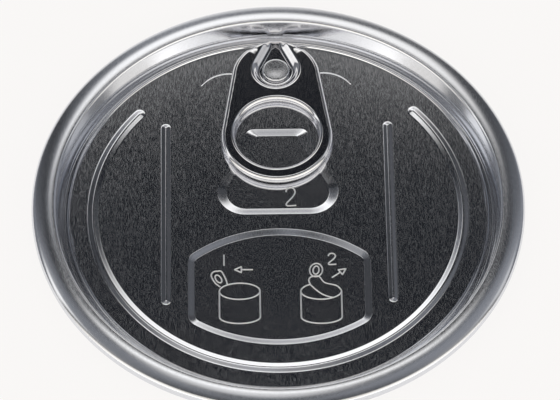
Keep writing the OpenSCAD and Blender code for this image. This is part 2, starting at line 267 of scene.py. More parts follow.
RIM_PROFILE = rim_profile()
NOSE_Y = PANEL_R - NOSE_SETBACK
RIVET_Y = NOSE_Y - RIVET_BACK
RING_Y = RIVET_Y - RING_BACK
NOSE_CENTRE_Y = NOSE_Y - TAB_NOSE_R
FINGER_HOLE_Y = RING_Y + FINGER_HOLE_SHIFT
BEAD_R = PANEL_R - BEAD_INSET
WELL_LOW_Y = RING_Y - TAB_RING_R - WELL_REACH
ICON_TOP_Y = WELL_LOW_Y - ICON_GAP
ICON_LOW_R = BEAD_R - BEAD_W / 2 - ICON_MARGIN
ICON_FLOOR = PANEL_TOP - RECESS_DEPTH
SIDE_BEAD_X = ICON_HALF_W + SIDE_BEAD_GAP
SIDE_BEAD_TIP_R = BEAD_R - BEAD_W / 2 - SIDE_BEAD_MARGIN
SIDE_BEAD_HALF = math.sqrt(SIDE_BEAD_TIP_R**2 - SIDE_BEAD_X**2) - SIDE_BEAD_W / 2


# Mesh helpers


def circle_loop(centre, r, segments):
    return [on_arc(centre, r, 360 * i / segments) for i in range(segments)]


def hull_loop(corners, grow, step, arc_step=6):
    """Closed loop round a convex hull of circles (x, y, radius), given anticlockwise and all grown."""
    count = len(corners)
    normals = []
    for i, (x, y, r) in enumerate(corners):
        nx, ny, nr = corners[(i + 1) % count]
        length = math.hypot(nx - x, ny - y)
        heading = math.degrees(math.atan2(ny - y, nx - x))
        normals.append(heading - math.degrees(math.acos((r - nr) / length)))
    loop = []
    for i, (x, y, r) in enumerate(corners):
        first = normals[i - 1]
        turn = (normals[i] - first) % 360
        loop += [on_arc((x, y), r + grow, a) for a in spread(first, first + turn, arc_step)]
        nx, ny, nr = corners[(i + 1) % count]
        start, end = on_arc((x, y), r + grow, normals[i]), on_arc((nx, ny), nr + grow, normals[i])
        shares = spread(0, 1, step / max(math.dist(start, end), step))
        loop += [tuple(a + (b - a) * t for a, b in zip(start, end)) for t in shares[1:-1]]
    return loop


def band_loop(centre, r, first, last, half_w, step, cap_step=20):
    """Closed loop round an arc, half_w away from it, with round ends."""
    arc_step = math.degrees(step / r)
    tip, root = on_arc(centre, r, last), on_arc(centre, r, first)
    loop = [on_arc(centre, r + half_w, a) for a in spread(first, last, arc_step)]
    loop += [on_arc(tip, half_w, last + a) for a in spread(0, 180, cap_step)[1:-1]]
    loop += [on_arc(centre, r - half_w, a) for a in spread(last, first, arc_step)]
    loop += [on_arc(root, half_w, first + 180 + a) for a in spread(0, 180, cap_step)[1:-1]]
    return loop


def bump(t):
    """Rounded ridge: 1 at t 0 and 0 at t 1, level at both."""
    return 0.5 + 0.5 * math.cos(math.pi * min(t, 1.0))


def slope(t, ease):
    """Straight slope from 0 at t 0 to 1 at t 1, whose ends are rounded over the share ease."""
    t = min(max(t, 0.0), 1.0)
    steep = 1 / (1 - ease)
    if t < ease:
        return steep * t * t / (2 * ease)
    if t > 1 - ease:
        return 1 - steep * (1 - t) ** 2 / (2 * ease)
    return steep * (t - ease / 2)


def eased_shares(ease):
    """Shares from 0 to 1 at which such a slope is worth a line of points."""
    ends = [0, ease / 4, ease / 2, ease * 3 / 4, ease]
    return ends + [0.5] + [1 - t for t in reversed(ends)]


class Sheet:
    """Points with heights and the lines between them, which are triangulated into a skin."""

    def __init__(self):
        self.points = []
        self.heights = []
        self.lines = []

    def line(self, points, z, closed=True):
        start = len(self.points)
        self.points += [Vector(p) for p in points]
        self.heights += [z] * len(points)
        pairs = [(start + i, start + i + 1) for i in range(len(points) - 1)]
        self.lines += pairs + ([(start + len(points) - 1, start)] if closed else [])

    def fill(self, limit_r, step, height_at):
        """Adds a triangular grid of loose points where no line is near."""
        tree = KDTree(len(self.points))
        for i, p in enumerate(self.points):
            tree.insert((p.x, p.y, 0), i)
        tree.balance()
        row_step = step * sind(60)
        rows = int(limit_r / row_step)
        for j in range(-rows, rows + 1):
            for i in range(-rows - 1, rows + 2):
                p = Vector(((i + 0.5 * (j % 2)) * step, j * row_step))
                if p.length < limit_r and tree.find((p.x, p.y, 0))[2] > step / 2:
                    self.points.append(p)
                    self.heights.append(height_at(p))

    def skin(self, bm, keep):
        """Adds the triangles whose middles pass keep(x, y) to a bmesh."""
        made = delaunay_2d_cdt(self.points, self.lines, [], 0, 1e-6, True)
        flat, faces, origins = made[0], made[2], made[3]
        verts = [bm.verts.new((p.x, p.y, self.heights[o[0]])) for p, o in zip(flat, origins)]
        for face in faces:
            middle = sum((flat[i] for i in face), Vector((0, 0))) / 3
            if keep(middle.x, middle.y):
                bm.faces.new([verts[i] for i in face])
        bmesh.ops.delete(bm, geom=[v for v in bm.verts if not v.link_faces], context="VERTS")


def strip(bm, rings):
    """Joins rings of points with quads; the points run round, the rings outwards or upwards."""
    rows = [[bm.verts.new(p) for p in ring] for ring in rings]
    count = len(rows[0])
    for low, high in zip(rows, rows[1:]):
        for i in range(count):
            j = (i + 1) % count
            bm.faces.new((low[i], high[i], high[j], low[j]))


def lathe(bm, profile, segments, centre=(0, 0)):
    """Turns a section of (radius, height) round an upright axis; its last point may lie on the axis."""
    rings = [[(*p, z) for p in circle_loop(centre, r, segments)] for r, z in profile if r > 0]
    strip(bm, rings)
    if profile[-1][0] == 0:
        tip = bm.verts.new((*centre, profile[-1][1]))
        ring = [bm.verts.new(p) for p in rings[-1]]
        for i in range(segments):
            bm.faces.new((ring[i], tip, ring[(i + 1) % segments]))


def piece(name, bm, thickness=0):
    """Makes a mesh object from a bmesh in millimetres; an open skin may be given a thickness, inwards."""
    bmesh.ops.remove_doubles(bm, verts=bm.verts, dist=1e-4)
    bmesh.ops.recalc_face_normals(bm, faces=bm.faces)
    mesh = bpy.data.meshes.new(name)
    bm.to_mesh(mesh)
    bm.free()
    obj = bpy.data.objects.new(name, mesh)
    bpy.context.scene.collection.objects.link(obj)
    mesh.transform(obj.matrix_world * MM)
    if thickness:
        solid = obj.modifiers.new("sheet", "SOLIDIFY")
        solid.thickness = thickness * MM
        solid.offset = -1
        bpy.context.view_layer.update()
        depsgraph = bpy.context.evaluated_depsgraph_get()
        obj.data = bpy.data.meshes.new_from_object(obj.evaluated_get(depsgraph))
        obj.data.name = name
        obj.modifiers.clear()
    obj.data.shade_smooth()
    obj.data.set_sharp_from_angle(angle=math.radians(SHARP_ANGLE))
    return obj


def face_up(bm):
    """Turns the normals of an open skin to the side that mostly faces up."""
    bmesh.ops.recalc_face_normals(bm, faces=bm.faces)
    if sum(f.normal.z * f.calc_area() for f in bm.faces) < 0:
        bmesh.ops.reverse_faces(bm, faces=bm.faces)


# End shell


def icon_outline(share):
    """Corner circles round the icon panel so far down its slope, anticlockwise from its lower arc."""
    low_r, top_r = ICON_LOW_R - ICON_CORNER_R, ICON_TOP_R - ICON_CORNER_R
    reach = ICON_HALF_W - ICON_CORNER_R
    low_spread = math.degrees(math.asin(reach / low_r))
    top_spread = math.degrees(math.asin(reach / top_r))
    low = [on_arc((0, 0), low_r, -90 + a) for a in spread(-low_spread, low_spread, ICON_ARC_STEP)]
    top_centre = (0, ICON_TOP_Y - ICON_TOP_R)
    top = [on_arc(top_centre, top_r, 90 + a) for a in spread(-top_spread, top_spread, ICON_ARC_STEP)]
    return [(x, y, ICON_CORNER_R - ICON_SLOPE_W * share) for x, y in low + top]


def well_outline(share):
    """Corner circles round the finger well so far down its slope, anticlockwise from its lower left."""
    low_x, low_y = WELL_HALF_W - WELL_R, WELL_LOW_Y + WELL_R
    top_x, top_y = WELL_TOP_HALF_W - WELL_TOP_R, RING_Y + WELL_TOP - WELL_TOP_R
    low_x *= 1 - WELL_LOW_SQUEEZE * share
    top_x *= 1 - WELL_SQUEEZE * share
    inset = WELL_SLOPE_W * share
    low = [(side * low_x, low_y, WELL_R - inset) for side in (-1, 1)]
    top = [(side * top_x, top_y, WELL_TOP_R - inset) for side in (1, -1)]
    return low + top


def add_recess(sheet, outline):
    """Lines down a recess's slope; outline gives its corner circles at 0, the panel, to 1, the floor."""
    for share in eased_shares(RECESS_EASE):
        depth = RECESS_DEPTH * slope(share, RECESS_EASE)
        sheet.line(hull_loop(outline(share), 0, PANEL_STEP), PANEL_TOP - depth)
    sheet.line(hull_loop(outline(0), GUARD, PANEL_STEP), PANEL_TOP)
    sheet.line(hull_loop(outline(1), -GUARD, PANEL_STEP), ICON_FLOOR)


def add_beads(sheet):
    shares = eased_shares(BEAD_EASE)[1:]
    first, last = 90 + BEAD_OPEN / 2, 450 - BEAD_OPEN / 2
    half = BEAD_W / 2 + BEAD_FOOT
    for share in shares:
        z = PANEL_TOP + BEAD_H * (1 - slope(share, BEAD_EASE))
        sheet.line(band_loop((0, 0), BEAD_R, first, last, half * share, PANEL_STEP), z)
    sheet.line(band_loop((0, 0), BEAD_R, first, last, half + GUARD, PANEL_STEP), PANEL_TOP)
    ridge = [on_arc((0, 0), BEAD_R, a) for a in spread(first, last, math.degrees(PANEL_STEP / BEAD_R))]
    sheet.line(ridge, PANEL_TOP + BEAD_H, closed=False)
    half = SIDE_BEAD_W / 2 + BEAD_FOOT
    for x in (-SIDE_BEAD_X, SIDE_BEAD_X):
        ends = [(x, -SIDE_BEAD_HALF, 0), (x, SIDE_BEAD_HALF, 0)]
        for share in shares:
            z = PANEL_TOP + BEAD_H * (1 - slope(share, BEAD_EASE))
            sheet.line(hull_loop(ends, half * share, PANEL_STEP, SIDE_BEAD_ARC_STEP), z)
        sheet.line(hull_loop(ends, half + GUARD, PANEL_STEP, SIDE_BEAD_ARC_STEP), PANEL_TOP)
        ridge = [(x, y) for y in spread(-SIDE_BEAD_HALF, SIDE_BEAD_HALF, PANEL_STEP)]
        sheet.line(ridge, PANEL_TOP + BEAD_H, closed=False)


def add_scores(sheet):
    score_r = PANEL_R - SCORE_INSET
    for offset, depth in ((-SCORE_W / 2, 0), (0, SCORE_DEPTH), (SCORE_W / 2, 0)):
        sheet.line(circle_loop((0, 0), score_r + offset, RIM_SEGMENTS), PANEL_TOP - depth)
    sheet.line(circle_loop((0, 0), score_r - SCORE_W / 2 - GUARD, RIM_SEGMENTS), PANEL_TOP)
    for side in (-1, 1):
        centre = (side * WING_X, RIVET_Y - WING_BACK)
        first, last = (WING_START, WING_END) if side > 0 else (180 - WING_END, 180 - WING_START)
        for grow in (0, GUARD / 2, GUARD):
            loop = band_loop(centre, WING_R, first, last, WING_W / 2 + grow, NOSE_STEP, WING_CAP_STEP)
            sheet.line(loop, PANEL_TOP)
        groove = [on_arc(centre, WING_R, a) for a in spread(first, last, math.degrees(NOSE_STEP / WING_R))]
        sheet.line(groove, PANEL_TOP - WING_DEPTH, closed=False)


def rivet_profile():
    head_low = TONGUE_TOP + RIVET_PLAY
    edge_x = RIVET_HEAD_R - RIVET_EDGE_R
    head_top = head_low + RIVET_HEAD_H
    lower = [on_arc((edge_x, head_low + RIVET_EDGE_R), RIVET_EDGE_R, a) for a in spread(-90, 0, 15)]
    upper = [on_arc((edge_x, head_top - RIVET_EDGE_R), RIVET_EDGE_R, a) for a in spread(0, 90, 10)]
    dish = [(edge_x * t, head_top - RIVET_DISH * bump(t)) for t in spread(0.9, 0, 0.15)]
    return [(RIVET_NECK_R, PANEL_TOP), (RIVET_NECK_R, head_low)] + lower + upper + dish


def on_rivet_face(face):
    """True on the flat of the rivet's head, which the staking punch leaves dull."""
    middle = face.calc_center_median()
    near = math.hypot(middle.x, middle.y - RIVET_Y) < RIVET_HEAD_R - RIVET_EDGE_R
    return near and middle.z > TONGUE_TOP + RIVET_PLAY + RIVET_HEAD_H - 2 * RIVET_DISH


def build_shell():
    sheet = Sheet()
    sheet.line(circle_loop((0, 0), PANEL_R, RIM_SEGMENTS), PANEL_TOP)
    add_scores(sheet)
    add_beads(sheet)
    recesses = (icon_outline, well_outline)
    for outline in recesses:
        add_recess(sheet, outline)
    sheet.line(circle_loop((0, RIVET_Y), RIVET_NECK_R, RIVET_SEGMENTS), PANEL_TOP)
    floors = [hull_loop(outline(1), 0, PANEL_STEP) for outline in recesses]

    def inside(p, loop):
        sides = zip(loop, loop[1:] + loop[:1])
        return all((bx - ax) * (p.y - ay) >= (by - ay) * (p.x - ax) for (ax, ay), (bx, by) in sides)

    def height_at(p):
        return ICON_FLOOR if any(inside(p, floor) for floor in floors) else PANEL_TOP

    sheet.fill(PANEL_R - SCORE_INSET - SCORE_W, GRID_STEP, height_at)
    bm = bmesh.new()
    sheet.skin(bm, lambda x, y: math.hypot(x, y - RIVET_Y) > RIVET_NECK_R * cosd(180 / RIVET_SEGMENTS))
    lathe(bm, RIM_PROFILE, RIM_SEGMENTS)
    lathe(bm, rivet_profile(), RIVET_SEGMENTS, (0, RIVET_Y))
    bmesh.ops.remove_doubles(bm, verts=bm.verts, dist=1e-3)
    face_up(bm)
    for face in bm.faces:
        face.material_index = int(on_rivet_face(face))
    return piece("shell", bm, SHEET)


# Opening icons, drawn as raised lines on the floors of the two recesses


def curve(points, per_span=8):
    """Smooth curve through points."""
    last = len(points) - 1
    made = []
    for i in range(last):
        picks = (i - 1, i, i + 1, i + 2)
        a, b, c, d = (Vector(points[min(max(k, 0), last)]) for k in picks)
        for t in (j / per_span for j in range(per_span)):
            bend = (2 * a - 5 * b + 4 * c - d) * t**2 + (3 * b - a - 3 * c + d) * t**3
            made.append(0.5 * (2 * b + (c - a) * t + bend))
    return made + [Vector(points[-1])]


def ellipse(centre, half_w, half_h, first=0, last=360, tilt=0):
    angles = spread(first, last, 10)
    turned = [(half_w * cosd(a), half_h * sind(a)) for a in angles]
    c, s = cosd(tilt), sind(tilt)
    return [Vector((centre[0] + x * c - y * s, centre[1] + x * s + y * c)) for x, y in turned]


def ridge(bm, path, z, closed=False):
    """Raised line with a low arched section along a path, its ends closed."""
    count = len(path)
    rows = []
    for i, p in enumerate(path):
        ahead = path[(i + 1) % count if closed else min(i + 1, count - 1)]
        behind = path[i - 1 if closed else max(i - 1, 0)]
        along = (ahead - behind).normalized()
        across = Vector((-along.y, along.x)) * LINE_W / 2
        shares = spread(1, -1, LINE_SHARE_STEP)
        rows.append([(*(p + across * t), z - LINE_SINK + LINE_H * (1 - t * t)) for t in shares])
    verts = [[bm.verts.new(p) for p in row] for row in rows]
    width = len(verts[0])
    for i in range(count if closed else count - 1):
        here, there = verts[i], verts[(i + 1) % count]
        for j in range(width):
            k = (j + 1) % width
            bm.faces.new((here[j], there[j], there[k], here[k]))
    if not closed:
        bm.faces.new(verts[0])
        bm.faces.new(reversed(verts[-1]))


def arrow(bm, tail, tip):
    tail, tip = Vector(tail), Vector(tip)
    along = (tip - tail).normalized()
    across = Vector((-along.y, along.x)) * ARROW_HALF_W
    base = tip - along * ARROW_HEAD
    ridge(bm, [tail, base], ICON_FLOOR)
    head = [tip, base + across, base - across]
    corners = [a.lerp(b, t) for a, b in zip(head, head[1:] + head[:1]) for t in (0, 0.1, 0.5, 0.9)]
    ridge(bm, corners, ICON_FLOOR, closed=True)


def digit_two(bm, corner, width, height):
    shares = [(0.02, 0.76), (0.1, 0.9), (0.38, 1), (0.72, 0.96), (0.9, 0.82), (0.88, 0.67)]
    shares += [(0.68, 0.5), (0.35, 0.31), (0.08, 0.16), (0.02, 0.06), (0.1, 0.01), (0.3, 0), (1, 0.02)]
    ridge(bm, curve([(corner[0] + width * x, corner[1] + height * y) for x, y in shares]), ICON_FLOOR)


def can_body(bm, x, y):
    """Sides, bottom and the front half of the rim of a drawn can."""
    foot_y = y - CAN_SIDE
    for side in (-1, 1):
        ridge(bm, [Vector((x + side * CAN_HALF_W, v)) for v in spread(y, foot_y, 1)], ICON_FLOOR)
    ridge(bm, ellipse((x, foot_y), CAN_HALF_W, CAN_FOOT_SHARE * CAN_HALF_H, 180, 360), ICON_FLOOR)
    ridge(bm, ellipse((x, y), CAN_HALF_W, CAN_HALF_H, 180, 360), ICON_FLOOR)


def closed_can(bm, x, y):
    """A can with its tab lifted, an arrow and the first step's digit, about the middle of its rim."""
    can_body(bm, x, y)
    ridge(bm, ellipse((x, y), CAN_HALF_W, CAN_HALF_H, 0, 180), ICON_FLOOR)
    tab_side = [(-3.6, 1.0), (-4.6, 2.0), (-5.28, 3.57), (-4.9, 4.4), (-4.1, 4.6)]
    tab_side += [(-3.35, 4.47), (-2.59, 2.82), (-2.26, 1.43)]
    ridge(bm, curve([(x + u, y + v) for u, v in tab_side]), ICON_FLOOR)
    ridge(bm, ellipse((x - 3.93, y + 2.84), 0.5, 0.95, tilt=28)[:-1], ICON_FLOOR, closed=True)
    ridge(bm, [Vector((x - 2.88, y + v)) for v in (8.3, 7.1, 5.81)], ICON_FLOOR)
    arrow(bm, (x + 2.54, y + 4.84), (x - 0.93, y + 4.89))


def open_can(bm, x, y):
    """A can with its lid half torn out, an arrow and the second step's digit, about the middle of its rim."""
    can_body(bm, x, y)
    ridge(bm, ellipse((x, y), CAN_HALF_W, CAN_HALF_H, 180, 120), ICON_FLOOR)
    lid = [(-2.0, 1.5), (-2.25, 2.54), (-1.76, 3.24), (-0.39, 3.33), (0.71, 1.91), (2.9, 1.2), (3.83, 0.05)]
    fold = [(-2.0, 1.5), (-1.0, 0.35), (0.3, -0.75), (1.7, -1.35), (2.4, -1.45)]
    for path in (lid, fold):
        ridge(bm, curve([(x + u, y + v) for u, v in path]), ICON_FLOOR)
    for half_w, half_h in ((1.2, 1.5), (0.55, 0.92)):
        ring = ellipse((x - 0.86, y + 4.75), half_w, half_h, tilt=-8)
        ridge(bm, ring[:-1], ICON_FLOOR, closed=True)
    digit_two(bm, (x + 1.47, y + 5.97), 1.48, 2.53)
    arrow(bm, (x + 2.07, y + 3.0), (x + 4.72, y + 4.98))


def build_icons():
    bm = bmesh.new()
    closed_can(bm, *CAN_1)
    open_can(bm, *CAN_2)
    digit_two(bm, WELL_DIGIT, WELL_DIGIT_W, WELL_DIGIT_H)
    return piece("icons", bm)


# Pull tab


def cup_distance(x, y):
    """How far a point lies outside the foot of the recess round the rivet and its channel to the nose."""
    across, along = abs(x), y - RIVET_Y
    if along * sind(CUP_OPEN) > across * cosd(CUP_OPEN):
        return across * sind(CUP_OPEN) + along * cosd(CUP_OPEN) - CUP_FOOT_R
    return math.hypot(across, along) - CUP_FOOT_R


def pressed(x, y):
    """How deep the tab is pressed at a point."""
    return CUP_DEPTH * (1 - slope(cup_distance(x, y) / CUP_SLOPE_W, CUP_EASE))


def cup_line(grow):
    """Open line round the recess, grown from its foot, from the nose's right round the rivet to its left."""
    r = CUP_FOOT_R + grow
    arc = [on_arc((0, RIVET_Y), r, 90 - CUP_OPEN - a) for a in spread(0, 360 - 2 * CUP_OPEN, 6)]
    start_x, start_y = arc[0]
    ways = spread(RIVET_BACK / sind(CUP_OPEN), 0, TAB_STEP)
    right = [(start_x - way * cosd(CUP_OPEN), start_y + way * sind(CUP_OPEN)) for way in ways]
    left = [(-x, y) for x, y in reversed(right)]
    return right[:-1] + arc + left[1:]


def tab_corners():
    return [(0, RING_Y, TAB_RING_R), (0, NOSE_CENTRE_Y, TAB_NOSE_R)]


def curled(outer, inner, share):
    """Point of the rolled edge between two points of the outline, so far round the curl."""
    from_tip = abs(outer[0]) / NOSE_TIP_HALF_W
    open_tip = 0 if outer[1] < RIVET_Y else 1 - smooth(from_tip, NOSE_OPEN_FROM, NOSE_OPEN_TO)
    turn = 90 - share * (EDGE_CURL_TURN + (NOSE_CURL_TURN - EDGE_CURL_TURN) * open_tip)
    lean = cosd(turn)
    x, y = (i + (o - i) * lean for o, i in zip(outer, inner))
    return (x, y, TAB_LOW + EDGE_R + EDGE_R * sind(turn))


def shaped(p):
    """A point of the plain tab once its nose is pressed, its tip drawn forward and its corners crinkled."""
    x, y, z = p
    z = TAB_LOW + (z - TAB_LOW) * (1 - pressed(x, y) / TAB_H)
    tip = 1 - smooth(abs(x) / NOSE_TIP_HALF_W, NOSE_TIP_FLAT, 1)
    tip *= smooth(y, NOSE_Y - NOSE_TIP_FROM, NOSE_Y - NOSE_TIP_TO)
    angle = math.degrees(math.atan2(abs(x), y - NOSE_CENTRE_Y))
    corner = math.exp(-(((angle - CRINKLE_ANGLE) / CRINKLE_SPREAD) ** 2))
    near_edge = smooth(math.hypot(x, y - NOSE_CENTRE_Y), TAB_NOSE_R - 2 * EDGE_R, TAB_NOSE_R)
    ripple = sind(angle * CRINKLE_RATE) * CRINKLE_DEPTH
    inset = (CRINKLE_INSET + ripple) * corner * near_edge
    z -= CRINKLE_SAG * inset * (z - TAB_LOW) / TAB_H
    return (x * (1 - inset / TAB_NOSE_R), y - inset + NOSE_TIP_REACH * tip, z)


def build_tab():
    outer = hull_loop(tab_corners(), 0, TAB_STEP, TAB_ARC_STEP)
    inner = hull_loop(tab_corners(), -EDGE_R, TAB_STEP, TAB_ARC_STEP)
    sheet = Sheet()
    sheet.line(inner, TAB_TOP)
    sheet.line(hull_loop(tab_corners(), -EDGE_R - TAB_GUARD, TAB_STEP, TAB_ARC_STEP), TAB_TOP)
    hole_r = FINGER_HOLE_R + EDGE_R
    hole = (0, FINGER_HOLE_Y)
    for grow in (0, TAB_GUARD):
        sheet.line(circle_loop(hole, hole_r + grow, FINGER_HOLE_SEGMENTS), TAB_TOP)
    end_y = NOSE_Y - CUP_END
    foot = [p for p in cup_line(0) if p[1] < end_y]
    sheet.line(foot, TAB_TOP)

    def in_skin(x, y, margin):
        from_nose = math.hypot(x, y - NOSE_CENTRE_Y)
        return y < NOSE_CENTRE_Y or from_nose < TAB_NOSE_R - EDGE_R - margin

    for grow in spread(0, CUP_SLOPE_W + GUARD, CUP_STEP)[1:]:
        line = [p for p in cup_line(grow) if in_skin(*p, 2 * TAB_GUARD)]
        sheet.line(line, TAB_TOP, closed=False)

    def keep(x, y):
        in_foot = cup_distance(x, y) < -1e-3 and y < end_y
        return math.hypot(x, y - FINGER_HOLE_Y) > hole_r * cosd(180 / FINGER_HOLE_SEGMENTS) and not in_foot

    bm = bmesh.new()
    sheet.skin(bm, keep)
    shares = spread(0, 1, ROLL_STEP)
    strip(bm, [[curled(o, i, share) for o, i in zip(outer, inner)] for share in shares])
    turns = [90 - EDGE_CURL_TURN * share for share in shares]
    profile = [(hole_r - EDGE_R * cosd(turn), TAB_LOW + EDGE_R + EDGE_R * sind(turn)) for turn in turns]
    lathe(bm, profile, FINGER_HOLE_SEGMENTS, hole)
    bmesh.ops.remove_doubles(bm, verts=bm.verts, dist=1e-3)
    for v in bm.verts:
        v.co = shaped(v.co)
    face_up(bm)
    return piece("tab", bm, TAB_T)


# Materials


def add_node(tree, kind, **inputs):
    """Adds a node; keywords that name an input set or link it, and the others set the node's own settings."""
    made = tree.nodes.new(kind)
    for key, value in inputs.items():
        name = key.replace("_", " ").title()
        if name not in made.inputs:
            setattr(made, key, value)
        elif isinstance(value, bpy.types.NodeSocket):
            tree.links.new(value, made.inputs[name])
        else:
            made.inputs[name].default_value = value
    return made


def math_node(tree, operation, *values):
    made = tree.nodes.new("ShaderNodeMath")
    made.operation = operation
    for socket, value in zip(made.inputs, values):
        if isinstance(value, bpy.types.NodeSocket):
            tree.links.new(value, socket)
        else:
            socket.default_value = value
    return made.outputs[0]


def remap(tree, value, from_min, from_max, to_min, to_max, kind="SMOOTHSTEP"):
    made = add_node(tree, "ShaderNodeMapRange", interpolation_type=kind, value=value)
    numbers = {"From Min": from_min, "From Max": from_max, "To Min": to_min, "To Max": to_max}
    for name, number in numbers.items():
        made.inputs[name].default_value = number
    return made.outputs["Result"]


def noise(tree, **inputs):
    made = add_node(tree, "ShaderNodeTexNoise", **inputs)
    return made.outputs["Factor"] if "Factor" in made.outputs else made.outputs["Fac"]


def shaded(tree, colour, shade, factor):
    """The colour, taken down to a share of itself where factor is 0."""
    made = add_node(tree, "ShaderNodeMix", data_type="RGBA")
    made.inputs[MIX_A].default_value = (*[c * shade for c in colour], 1)
    made.inputs[MIX_B].default_value = (*colour, 1)
    tree.links.new(factor, made.inputs[MIX_FACTOR])
    return made.outputs[MIX_RESULT]


def new_material(name):
    """A material with its node tree, its main shader and the object's own coordinates."""
    mat = bpy.data.materials.new(name)
    mat.use_nodes = True
    tree = mat.node_tree
    place = add_node(tree, "ShaderNodeTexCoord").outputs["Object"]
    return mat, tree, tree.nodes["Principled BSDF"], place


def metal(name, colour, rough, grain_scale, dome=0):
    """Rolled aluminium sheet with its grain along Y.

    With a dome it leans outwards by so many radians a metre of radius, and is duller on the rim.
    """
    mat, tree, bsdf, place = new_material(name)
    bsdf.inputs["Metallic"].default_value = 1
    scale = (grain_scale, grain_scale / GRAIN_LENGTH, grain_scale / GRAIN_HEIGHT)
    stretched = add_node(tree, "ShaderNodeMapping", vector=place, scale=scale).outputs[0]
    grain = noise(tree, vector=stretched, scale=1.0, detail=GRAIN_DETAIL, roughness=GRAIN_ROUGHNESS)
    dullness = remap(tree, grain, *NOISE_SPAN, *rough)
    tint = shaded(tree, colour, GRAIN_SHADE, remap(tree, grain, *NOISE_SPAN, 0, 1))
    tree.links.new(tint, bsdf.inputs["Base Color"])
    if dome:
        flat = add_node(tree, "ShaderNodeVectorMath", operation="MULTIPLY")
        tree.links.new(place, flat.inputs[0])
        flat.inputs[1].default_value = (1, 1, 0)
        dot = add_node(tree, "ShaderNodeVectorMath", operation="DOT_PRODUCT")
        for socket in dot.inputs[:2]:
            tree.links.new(flat.outputs[0], socket)
        square = dot.outputs["Value"]
        lean = add_node(tree, "ShaderNodeBump", height=square, distance=dome / 2, invert=True)
        tree.links.new(lean.outputs[0], bsdf.inputs["Normal"])
        rim_from, rim_to = (RIM_DULL_FROM * MM) ** 2, (RIM_DULL_TO * MM) ** 2
        dullness = math_node(tree, "ADD", dullness, remap(tree, square, rim_from, rim_to, 0, RIM_DULL))
    tree.links.new(dullness, bsdf.inputs["Roughness"])
    return mat


def rubber(name, colour, rough):
    """Dull cast compound, slightly blotchy."""
    mat, tree, bsdf, place = new_material(name)
    blotch = noise(tree, vector=place, scale=BLOTCH_SCALE, detail=BLOTCH_DETAIL)
    tree.links.new(shaded(tree, colour, BLOTCH_SHADE, blotch), bsdf.inputs["Base Color"])
    tree.links.new(remap(tree, blotch, *NOISE_SPAN, *rough), bsdf.inputs["Roughness"])
    return mat


# Places of a colour mix's sockets
MIX_FACTOR, MIX_A, MIX_B, MIX_RESULT = 0, 6, 7, 2

NOISE_SPAN = (0.3, 0.7)
GRAIN_LENGTH = 6
GRAIN_HEIGHT = 4
GRAIN_DETAIL = 3.0
GRAIN_ROUGHNESS = 0.6
GRAIN_SHADE = 0.93
BLOTCH_SCALE = 900.0
BLOTCH_DETAIL = 2.0
BLOTCH_SHADE = 0.85
DOME = 0.3
RIM_DULL = 0.06
RIM_DULL_FROM = 41.2
RIM_DULL_TO = 42
SHELL_COLOUR = (0.78, 0.79, 0.82)
# Painted highlight: the raised lines are the same sheet as the shell, but are given a whiter colour for the
# light their slopes catch
LINE_PAINTED_HIGHLIGHT_COLOUR = (0.95, 0.95, 0.95)
TAB_COLOUR = (0.74, 0.74, 0.76)
LINING_COLOUR = (0.52, 0.53, 0.50)

shell_metal = metal("shell_sheet", SHELL_COLOUR, rough=(0.075, 0.143), grain_scale=8000, dome=DOME)
rivet_metal = metal("rivet_face", SHELL_COLOUR, rough=(0.14, 0.2), grain_scale=9000)
# Metal of the raised lines, whose whiter colour is a painted highlight
line_metal_painted_highlight = metal("raised_lines_painted_highlight", LINE_PAINTED_HIGHLIGHT_COLOUR, rough=(0.36, 0.44), grain_scale=6000)
tab_metal = metal("tab_sheet", TAB_COLOUR, rough=(0.065, 0.095), grain_scale=6000)
lining = rubber("lining", LINING_COLOUR, rough=(0.6, 0.8))


def dress(obj, body, slot, *materials):
    for material in materials:
        obj.data.materials.append(material)
    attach(obj, body)
    return obj


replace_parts(dress(build_shell(), "end", "shell_sheet", shell_metal, rivet_metal), "end_shell")
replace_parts(dress(build_tab(), "tab", "tab_sheet", tab_metal), "pull_tab")
dress(build_icons(), "end", "shell_sheet", line_metal_painted_highlight)
for node_name, material in (("tab_tongue", tab_metal), ("sealing_compound", lining)):
    node_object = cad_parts[node_name]
    node_object.data.materials.clear()
    node_object.data.materials.append(material)

# Floor
FLOOR_HALF = 8.0
FLOOR_COLOUR = (0.97, 0.955, 0.945)
FLOOR_GLOW = 0.93
FLOOR_ROUGH = 0.9
floor_mesh = bpy.data.meshes.new("floor")
floor_corners = [(x * FLOOR_HALF, y * FLOOR_HALF, 0) for x, y in ((-1, -1), (1, -1), (1, 1), (-1, 1))]
floor_mesh.from_pydata(floor_corners, [], [(0, 1, 2, 3)])
floor = bpy.data.objects.new("floor", floor_mesh)
bpy.context.scene.collection.objects.link(floor)
floor_paint = bpy.data.materials.new("floor")
floor_paint.use_nodes = True
floor_tree = floor_paint.node_tree
floor_bsdf = floor_tree.nodes["Principled BSDF"]
floor_bsdf.inputs["Base Color"].default_value = (*FLOOR_COLOUR, 1)
floor_bsdf.inputs["Roughness"].default_value = FLOOR_ROUGH
floor_bsdf.inputs["Specular IOR Level"].default_value = 0
rays = add_node(floor_tree, "ShaderNodeLightPath").outputs
seen = math_node(floor_tree, "MAXIMUM", rays["Is Camera Ray"], rays["Is Glossy Ray"])
seen = math_node(floor_tree, "MAXIMUM", seen, rays["Is Transmission Ray"])
glow = add_node(floor_tree, "ShaderNodeEmission", color=(*FLOOR_COLOUR, 1))
blend = floor_tree.nodes.new("ShaderNodeMixShader")
floor_tree.links.new(math_node(floor_tree, "MULTIPLY", seen, FLOOR_GLOW), blend.inputs[0])
floor_tree.links.new(floor_bsdf.outputs[0], blend.inputs[1])
floor_tree.links.new(glow.outputs[0], blend.inputs[2])
floor_tree.links.new(blend.outputs[0], floor_tree.nodes["Material Output"].inputs["Surface"])
floor_mesh.materials.append(floor_paint)


